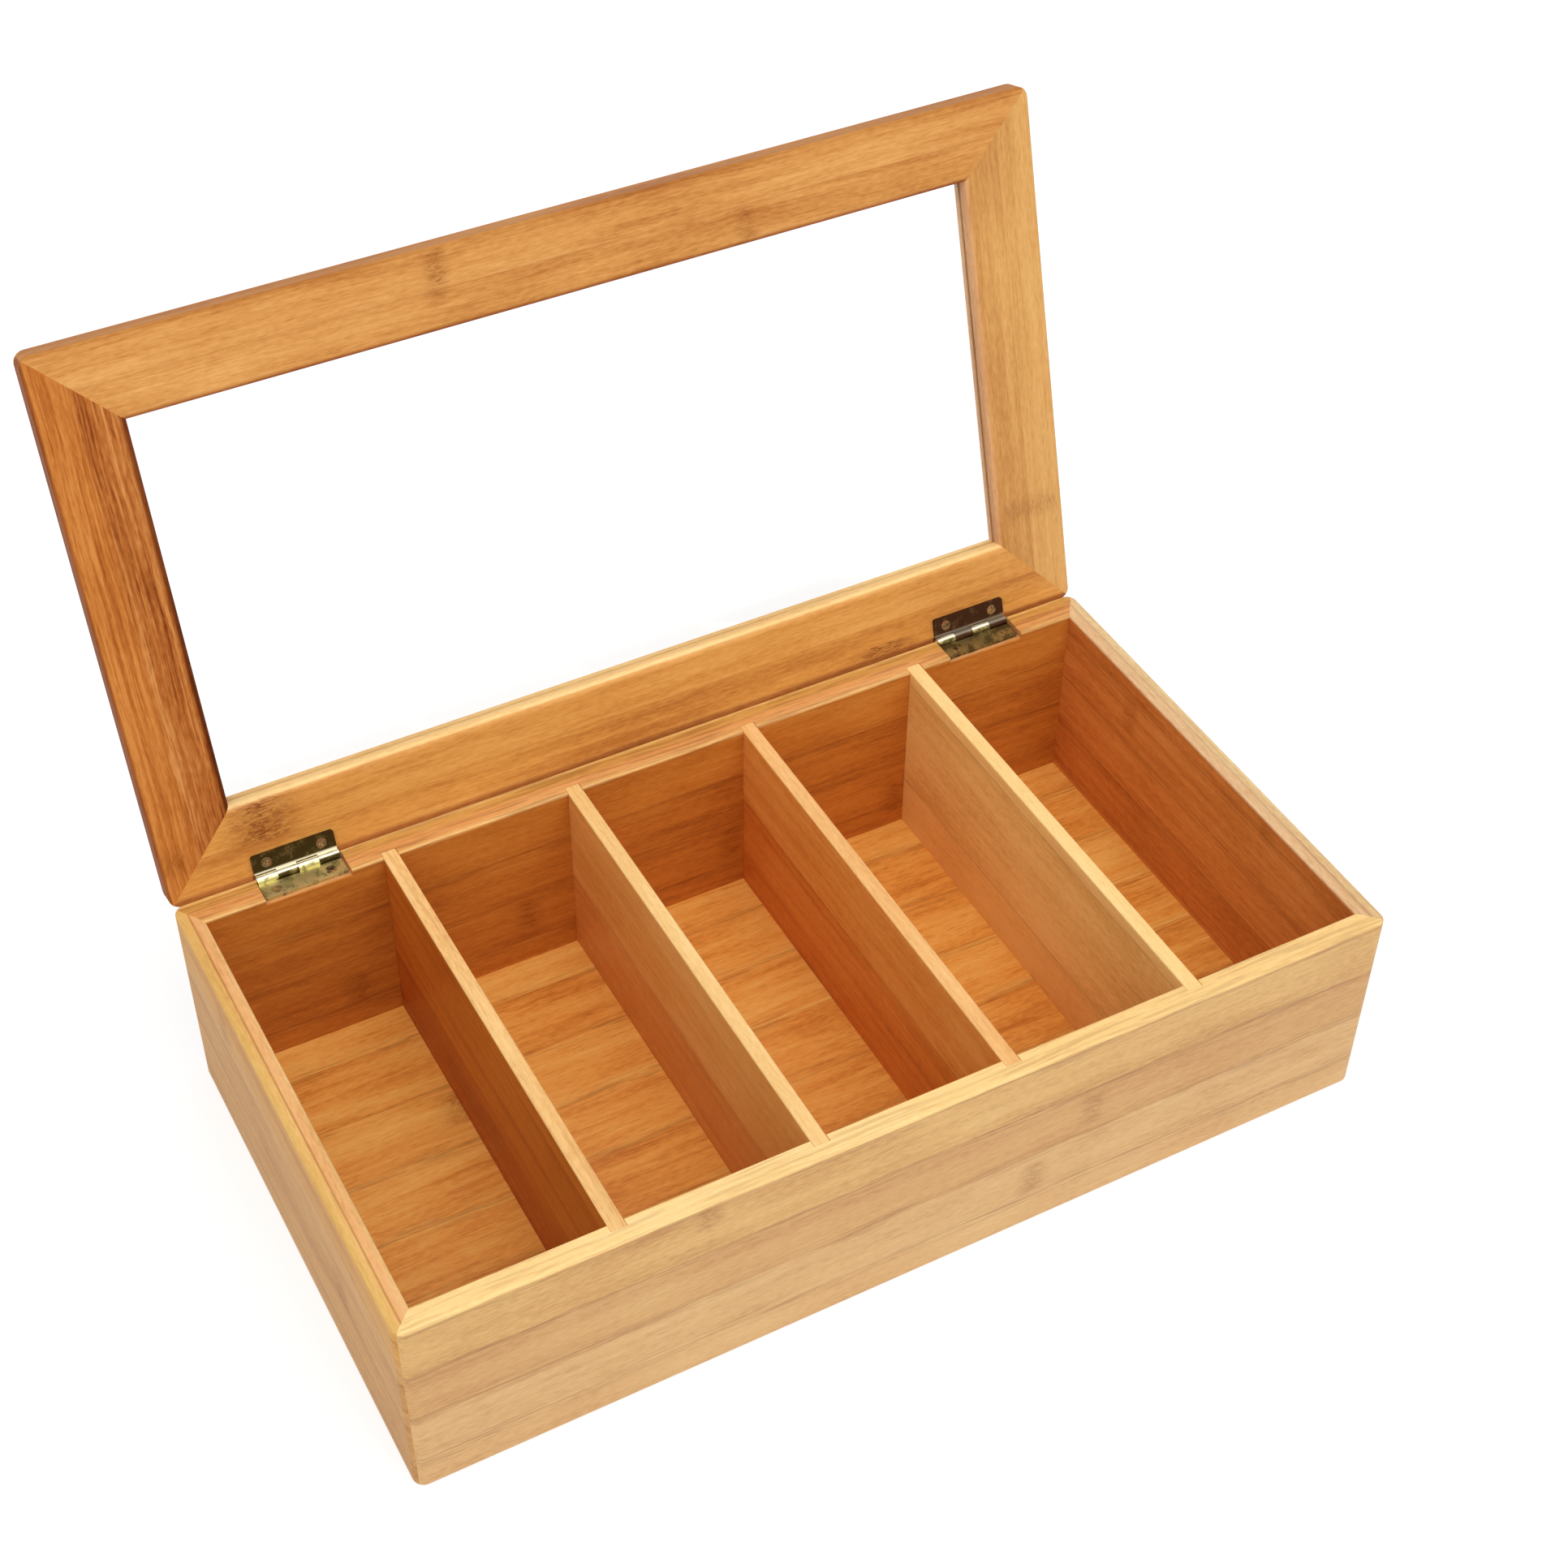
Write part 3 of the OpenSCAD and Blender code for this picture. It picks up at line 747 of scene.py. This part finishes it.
tree.links.new(both.outputs[0], output.inputs["Surface"])
wear("lid_pane", pane_finish)

# %% [markdown]
# ## Screws by rule
#
# Eight small countersunk screws hold the hinges, two in each leaf. They are all alike and sit at
# measured places, which is what Geometry Nodes are for: one screw is built from cones and
# cylinders, a cross is cut in its head, and it is set on each point. Nobody stops every screw at
# the same angle, so each is turned by a seeded random amount. The result is realised, given its
# finish and turned into plain mesh, one piece for the box and one for the lid.

# %% Where the screws go


def screw_seats(body, lid):
    """Head centres of a body's screws in millimetres, lid shut, and the head's radius and depth."""
    seats, radius, length = [], 0.0, 0.0
    shut = SHUT if lid else STILL
    for side in ("left", "right"):
        vertices = frame["nodes"][f"{side}_hinge_{body}_screws"].data.vertices
        points = np.array([v.co for v in vertices]) * PER_METRE
        points = points @ np.array(shut).T + np.array(shut_place(shut))
        low, high = points.min(0), points.max(0)
        radius, length = (high[1] - low[1]) / 2, high[2] - low[2]
        face = low[2] if lid else high[2]
        for x in (low[0] + radius, high[0] - radius):
            seats.append((x, (low[1] + high[1]) / 2, face))
    return seats, float(radius), float(length)


BOX_SEATS, HEAD_RADIUS, SCREW_LENGTH = screw_seats("box", lid=False)
LID_SEATS, _, _ = screw_seats("lid", lid=True)
print(f"screws {SCREW_LENGTH:.1f} mm long, heads {2 * HEAD_RADIUS:.1f} mm wide")
print("on the box at", BOX_SEATS)
print("on the lid at", LID_SEATS)

# %% [markdown]
# The tree takes every length as a named input, so one rule serves both sets. A disc is the head's
# flat lip, a cone is the sink under it and a longer cone is the shank. The cross is cut last, by
# two bars laid over each other.

# %% The screw's tree
LENGTHS = ("Head Radius", "Head Depth", "Shank Radius", "Length", "Cross Width", "Cross Depth")
HEAD_SIDES, SHANK_SIDES = 32, 24
LIP_SHARE, TIP_SHARE, ARM_SHARE = 0.22, 0.35, 1.15


def shape(tree, kind, inputs=(), **settings):
    """One node of a Geometry Nodes tree."""
    return add(tree, kind, inputs, family="GeometryNode", **settings)


def lifted(tree, mesh, height):
    """The mesh moved up by height."""
    place = add(tree, "CombineXYZ", {2: height}).outputs[0]
    return shape(tree, "Transform", {"Geometry": mesh, "Translation": place}).outputs[0]


def screw_inputs(tree):
    """Names the tree's inputs and its output, and returns the inputs' sockets."""
    kinds = {"Seats": "Geometry", **dict.fromkeys(LENGTHS, "Float")}
    kinds |= {"Seed": "Int", "Finish": "Material"}
    for name, kind in kinds.items():
        tree.interface.new_socket(name, in_out="INPUT", socket_type="NodeSocket" + kind)
    tree.interface.new_socket("Screws", in_out="OUTPUT", socket_type="NodeSocketGeometry")
    return tree.nodes.new("NodeGroupInput").outputs


def one_screw(tree, given):
    """A countersunk head on a tapering shank, with a cross cut in the head."""
    head_r, head_d, shank_r, length = (given[name] for name in LENGTHS[:4])
    cross_w, cross_d = given["Cross Width"], given["Cross Depth"]
    lip = sum_of(tree, "MULTIPLY", head_d, LIP_SHARE)
    disc = shape(tree, "MeshCylinder", {"Vertices": HEAD_SIDES, "Radius": head_r, "Depth": lip})
    disc = lifted(tree, disc.outputs["Mesh"], sum_of(tree, "MULTIPLY", lip, -0.5))
    cone = {"Vertices": HEAD_SIDES, "Radius Top": head_r, "Radius Bottom": shank_r}
    cone["Depth"] = sum_of(tree, "SUBTRACT", head_d, lip)
    sink = shape(tree, "MeshCone", cone).outputs["Mesh"]
    sink = lifted(tree, sink, sum_of(tree, "MULTIPLY", head_d, -1.0))
    cone = {"Vertices": SHANK_SIDES, "Radius Top": shank_r}
    cone["Radius Bottom"] = sum_of(tree, "MULTIPLY", shank_r, TIP_SHARE)
    cone["Depth"] = sum_of(tree, "SUBTRACT", length, head_d)
    shank = shape(tree, "MeshCone", cone).outputs["Mesh"]
    shank = lifted(tree, shank, sum_of(tree, "MULTIPLY", length, -1.0))
    solid = shape(tree, "MeshBoolean", operation="UNION", solver="EXACT")
    for part in (disc, sink, shank):
        tree.links.new(part, solid.inputs["Mesh 2"])
    whole = {"Mesh 1": solid.outputs[0]}
    cut = shape(tree, "MeshBoolean", whole, operation="DIFFERENCE", solver="EXACT")
    arm = sum_of(tree, "MULTIPLY", head_r, ARM_SHARE)
    twice = sum_of(tree, "MULTIPLY", cross_d, 2.0)
    for first, second in ((arm, cross_w), (cross_w, arm)):
        size = add(tree, "CombineXYZ", {0: first, 1: second, 2: twice}).outputs[0]
        bar = shape(tree, "MeshCube", {"Size": size}).outputs["Mesh"]
        tree.links.new(bar, cut.inputs["Mesh 2"])
    return cut.outputs[0]


def screw_tree():
    """Sets one cross-headed countersunk screw on every point; its head's face is at the point."""
    tree = bpy.data.node_groups.new("cross_screws", "GeometryNodeTree")
    given = screw_inputs(tree)
    points = shape(tree, "MeshToPoints", {"Mesh": given["Seats"]}).outputs[0]
    limits = {"Seed": given["Seed"], 0: (0.0, 0.0, 0.0), 1: (0.0, 0.0, math.pi / 2)}
    turn = add(tree, "RandomValue", limits, family="FunctionNode", data_type="FLOAT_VECTOR")
    inputs = {"Points": points, "Instance": one_screw(tree, given), "Rotation": turn.outputs[0]}
    placed = shape(tree, "InstanceOnPoints", inputs).outputs[0]
    real = shape(tree, "RealizeInstances", {"Geometry": placed}).outputs[0]
    done = shape(tree, "SetMaterial", {"Geometry": real, "Material": given["Finish"]}).outputs[0]
    tree.links.new(done, tree.nodes.new("NodeGroupOutput").inputs["Screws"])
    return tree


SCREWS = screw_tree()
print("screw tree:", len(SCREWS.nodes), "nodes")

# %% [markdown]
# The tree works in millimetres with the lid shut and every head looking up. The lid's heads look
# down instead, so that set is built upside down and turned over. Only at the end does the mesh
# go to metres and to the lid's open place.

# %% Drive the screws
HEAD_DEPTH, SHANK_RADIUS = 0.8, 1.0
CROSS_WIDTH, CROSS_DEPTH = 0.5, 0.5
SEEDS = {"box": 3, "lid": 7}


def seat_points(seats, over):
    """A bare object with one vertex at each seat."""
    mesh = bpy.data.meshes.new("screw_seats")
    mesh.from_pydata([over.inverted() @ Vector(seat) for seat in seats], [], [])
    made = bpy.data.objects.new("screw_seats", mesh)
    bpy.context.scene.collection.objects.link(made)
    return made


def drive(name, seats, body):
    """Builds one body's screws as a plain mesh that stands for its packed screw nodes."""
    lid = body == "lid"
    over = Matrix.Rotation(math.pi, 4, "X") if lid else Matrix.Identity(4)
    start = seat_points(seats, over)
    modifier = start.modifiers.new("screws", "NODES")
    modifier.node_group = SCREWS
    sizes = (HEAD_RADIUS, HEAD_DEPTH, SHANK_RADIUS, SCREW_LENGTH, CROSS_WIDTH, CROSS_DEPTH)
    values = dict(zip(LENGTHS, sizes), Seed=SEEDS[body], Finish=SCREW)
    for item in SCREWS.interface.items_tree:
        if item.in_out == "INPUT" and item.name in values:
            modifier[item.identifier] = values[item.name]
    graph = bpy.context.evaluated_depsgraph_get()
    made = bpy.data.meshes.new_from_object(start.evaluated_get(graph))
    made.materials.clear()
    made.materials.append(SCREW)
    made.polygons.foreach_set("material_index", [0] * len(made.polygons))
    start.modifiers.remove(modifier)
    bpy.data.objects.remove(start)
    back = SHUT.inverted().to_4x4() if lid else Matrix.Identity(4)
    place = Matrix.Translation(PIN) @ back @ Matrix.Translation(-PIN) @ over
    made.transform(Matrix.Scale(1 / PER_METRE, 4) @ place)
    made.name = name
    piece = bpy.data.objects.new(name, made)
    bpy.context.scene.collection.objects.link(piece)
    return piece


for body, seats in (("box", BOX_SEATS), ("lid", LID_SEATS)):
    piece = drive(body + "_hinge_screws", seats, body)
    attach(piece, body)
    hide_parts(f"left_hinge_{body}_screws", f"right_hinge_{body}_screws")
    print(piece.name, len(piece.data.polygons), "faces")

# %% [markdown]
# ## A white floor that keeps a shadow
#
# Catalogue pictures stand on white. The floor is pale and takes light as paper does; only where
# the camera, a mirror or the glass looks straight at it does it glow a little, which brings it up
# to white while the shadow under the box stays. Far off, where the lamps don't reach, it glows
# more, so that no grey horizon shows from a low view.

# %% Floor and world
FLOOR_REACH, FLOOR_DROP = 6.0, 0.0002
WHITE = (1.0, 1.0, 1.0, 1.0)
PAPER = (0.8, 0.8, 0.8, 1.0)
PAPER_SEEN = (0.45, 0.45, 0.45, 1.0)
NEAR, FAR = 0.6, 1.8
GLOW_NEAR, GLOW_FAR = 0.66, 0.80

floor_mesh = bpy.data.meshes.new("white_floor")
corners = [(x * FLOOR_REACH, y * FLOOR_REACH) for x, y in ((-1, -1), (1, -1), (1, 1), (-1, 1))]
floor_mesh.from_pydata([(x, y, -FLOOR_DROP) for x, y in corners], [], [(0, 1, 2, 3)])
floor = bpy.data.objects.new("white_floor", floor_mesh)
bpy.context.scene.collection.objects.link(floor)


def seen(tree):
    """One for rays from the camera, or from what mirrors or bends it."""
    path = add(tree, "LightPath").outputs
    eye = sum_of(tree, "MAXIMUM", path["Is Camera Ray"], path["Is Glossy Ray"])
    return sum_of(tree, "MAXIMUM", eye, path["Is Transmission Ray"])


paper = bpy.data.materials.new("paper_floor")
paper.use_nodes = True
tree = paper.node_tree
tree.nodes.clear()
place = add(tree, "TexCoord").outputs["Object"]
from_box = add(tree, "VectorMath", {0: place}, operation="LENGTH").outputs["Value"]
strength = step(tree, from_box, NEAR, FAR, GLOW_NEAR, GLOW_FAR)
pale = add(tree, "BsdfDiffuse", {"Color": PAPER}).outputs[0]
shaded = add(tree, "BsdfDiffuse", {"Color": PAPER_SEEN}).outputs[0]
glow = add(tree, "Emission", {"Color": WHITE, "Strength": strength}).outputs[0]
white = add(tree, "AddShader", {0: shaded, 1: glow}).outputs[0]
mix = add(tree, "MixShader", {0: seen(tree), 1: pale, 2: white}).outputs[0]
add(tree, "OutputMaterial", {"Surface": mix})
floor_mesh.materials.append(paper)
print("floor glows from", GLOW_NEAR, "near the box to", GLOW_FAR, "far away")

ROOM_LIGHT = 0.5
world = bpy.data.worlds.new("white_room")
bpy.context.scene.world = world
world.use_nodes = True
tree = world.node_tree
tree.nodes.clear()
strength = sum_of(tree, "MULTIPLY_ADD", seen(tree), 1.0 - ROOM_LIGHT, ROOM_LIGHT)
room = add(tree, "Background", {"Color": WHITE, "Strength": strength}).outputs[0]
add(tree, "OutputWorld", {"Surface": room})
print("the room lights the box with", ROOM_LIGHT)

# %% [markdown]
# ## Soft lamps
#
# The light in such pictures comes from large soft boxes, so edges shade gently and no shadow has
# a hard side. A broad one stands high in front, slightly to the right, and a second, weaker one
# opens up the left. A square lamp's power grows with the square of its distance.

# %% Lamps


def soft_box(name, place, side, power, aim=(0.0, 0.0, 0.06)):
    """A square lamp that looks at aim; place and side are in metres, power in watts."""
    lamp = bpy.data.lights.new(name, "AREA")
    lamp.shape = "SQUARE"
    lamp.size = side
    lamp.energy = power
    made = bpy.data.objects.new(name, lamp)
    bpy.context.scene.collection.objects.link(made)
    made.location = place
    made.rotation_euler = (Vector(aim) - Vector(place)).to_track_quat("-Z", "Y").to_euler()
    print(name, power, "W,", side, "m wide")


soft_box("overhead_soft_box", (0.2, -0.8, 2.4), 2.0, 25.0)
soft_box("front_soft_box", (0.5, -2.0, 1.4), 1.6, 10.0)
soft_box("left_soft_box", (-1.4, -0.6, 1.9), 1.4, 13.0)

# %% [markdown]
# ## The camera
#
# The photograph was taken with a fairly long lens from the front left, looking steeply down. The
# place and lens below come from fitting the box's known corners to their places in the picture,
# and the small shift is what is left of the picture's cropping.

# %% Camera
eye = bpy.data.cameras.new("catalogue_camera")
eye.sensor_width = 36.0
eye.lens = 60.354
eye.shift_x = 0.026505
eye.shift_y = 0.027880
camera = bpy.data.objects.new("catalogue_camera", eye)
bpy.context.scene.collection.objects.link(camera)
camera.location = (-0.29784, -0.53632, 0.72018)
camera.rotation_euler = Euler([math.radians(a) for a in (45.725, -0.0731, -27.8173)])
bpy.context.scene.camera = camera
bpy.context.scene.view_settings.view_transform = "Standard"
print("camera", round(Vector(camera.location).length, 3), "m away, lens", eye.lens, "mm")
